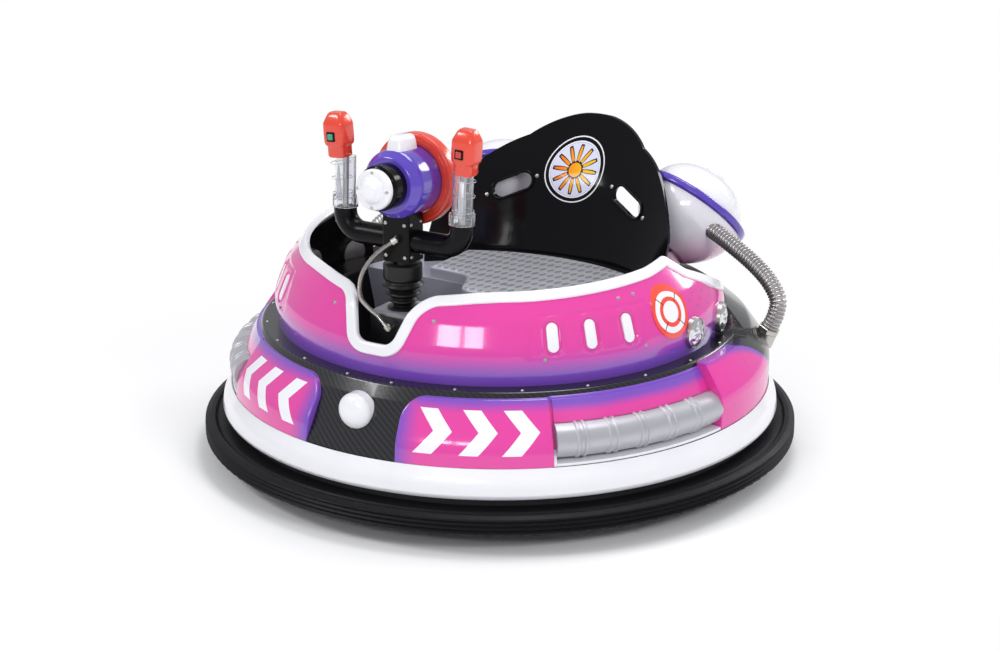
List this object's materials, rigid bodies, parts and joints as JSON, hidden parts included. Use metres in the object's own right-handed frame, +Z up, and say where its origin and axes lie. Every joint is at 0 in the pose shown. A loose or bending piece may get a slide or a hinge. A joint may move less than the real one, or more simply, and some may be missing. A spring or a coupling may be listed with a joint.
{
  "type": "round battery bumper car",
  "caption": "Round one-seat battery bumper car with a rubber bumper ring, two-tone body, bucket seat, tilting handlebar column and rear pods.",
  "frame": {"origin": "on the floor under the centre of the round bumper", "axes": "+Z up, -Y is the car's front, +X is the car's left side"},
  "size_m": [1.4, 1.3998, 0.8495],
  "materials": {
    "bumper_rubber": "matt black moulded rubber, grooved",
    "white_gloss": "gloss white gel coat",
    "carbon_look": "gloss black twill weave under clear coat",
    "pink_gloss": "gloss pink fading to violet",
    "silver_gloss": "silver paint",
    "seat_black": "high gloss black",
    "satin_black": "satin black",
    "frame_black": "black powder coat",
    "boot_rubber": "black rubber",
    "lens": "faceted bright reflector",
    "bright_steel": "corrugated stainless",
    "plated_steel": "plated steel",
    "violet_gloss": "gloss violet",
    "red_gloss": "gloss orange red",
    "clear_grip": "clear moulded tube",
    "grey_gloss": "grey satin",
    "tyre": "black polyurethane tyre",
    "hub_grey": "grey moulded wheel centre",
    "zinc": "zinc plated steel"
  },
  "bodies": {
    "root": {"batteries": "satin_black", "bellows": "boot_rubber", "bumper_ring": "bumper_rubber", "caster_sockets": "zinc", "column_base": "zinc", "conduit": "bright_steel", "conduit_foot": "plated_steel", "console": "grey_gloss", "cross_rails": "frame_black", "drive_motors": "zinc", "end_rails": "frame_black", "frame_hoop": "frame_black", "front_dome": "white_gloss", "front_panels": "pink_gloss", "hose_nuts": "plated_steel", "inner_tub": "satin_black", "long_rails": "frame_black", "lower_cover": "carbon_look", "motor_arms": "frame_black", "motor_plates": "frame_black", "pod_bodies": "white_gloss", "pod_caps": "white_gloss", "pod_hoses": "bright_steel", "pod_rings": "violet_gloss", "rear_cowl": "carbon_look", "rim_trim": "white_gloss", "seat_back": "seat_black", "seat_base": "silver_gloss", "seat_pan": "silver_gloss", "side_lamps": "lens", "side_panels": "pink_gloss", "side_pipes": "silver_gloss", "skirt_band": "white_gloss", "target_discs": "red_gloss", "tub_feet": "frame_black", "upper_shell": "pink_gloss", "vent_inserts": "white_gloss"},
    "wheel_left": {"tyre_left": "tyre", "wheel_hub_left": "hub_grey"},
    "wheel_right": {"tyre_right": "tyre", "wheel_hub_right": "hub_grey"},
    "caster_swivel_front": {"caster_fork_front": "zinc"},
    "caster_roller_front": {"caster_wheel_front": "tyre"},
    "caster_swivel_rear": {"caster_fork_rear": "zinc"},
    "caster_roller_rear": {"caster_wheel_rear": "tyre"},
    "gimbal": {"gimbal_cross": "zinc"},
    "column": {"column_post": "zinc", "column_head": "satin_black", "handlebar": "satin_black", "grips": "clear_grip", "grip_cores": "plated_steel", "grip_heads": "red_gloss", "gun_barrel": "violet_gloss", "gun_ring": "red_gloss", "gun_core": "seat_black", "gun_nozzle": "white_gloss", "gun_cap": "white_gloss", "conduit_head": "plated_steel"}
  },
  "joints": [
    {"name": "wheel_left_spin", "type": "hinge", "parent": "root", "child": "wheel_left", "pos_m": [0.448, 0, 0.1], "axis": [1, 0, 0], "continuous": true},
    {"name": "wheel_right_spin", "type": "hinge", "parent": "root", "child": "wheel_right", "pos_m": [-0.448, 0, 0.1], "axis": [1, 0, 0], "continuous": true},
    {"name": "caster_front_swivel", "type": "hinge", "parent": "root", "child": "caster_swivel_front", "pos_m": [0, -0.44, 0.07], "axis": [0, 0, 1], "continuous": true},
    {"name": "caster_front_roll", "type": "hinge", "parent": "caster_swivel_front", "child": "caster_roller_front", "pos_m": [0, -0.416, 0.03], "axis": [1, 0, 0], "continuous": true},
    {"name": "caster_rear_swivel", "type": "hinge", "parent": "root", "child": "caster_swivel_rear", "pos_m": [0, 0.44, 0.07], "axis": [0, 0, 1], "continuous": true},
    {"name": "caster_rear_roll", "type": "hinge", "parent": "caster_swivel_rear", "child": "caster_roller_rear", "pos_m": [0, 0.464, 0.03], "axis": [1, 0, 0], "continuous": true},
    {"name": "column_fore_aft", "type": "hinge", "parent": "root", "child": "gimbal", "pos_m": [0, -0.408, 0.476], "axis": [1, 0, 0], "range_deg": [-12, 12], "stiffness_Nm_per_rad": 60, "deforming": ["bellows", "conduit"]},
    {"name": "column_side_to_side", "type": "hinge", "parent": "gimbal", "child": "column", "pos_m": [0, -0.408, 0.476], "axis": [0, 1, 0], "range_deg": [-12, 12], "stiffness_Nm_per_rad": 60, "deforming": ["bellows", "conduit"]}
  ]
}
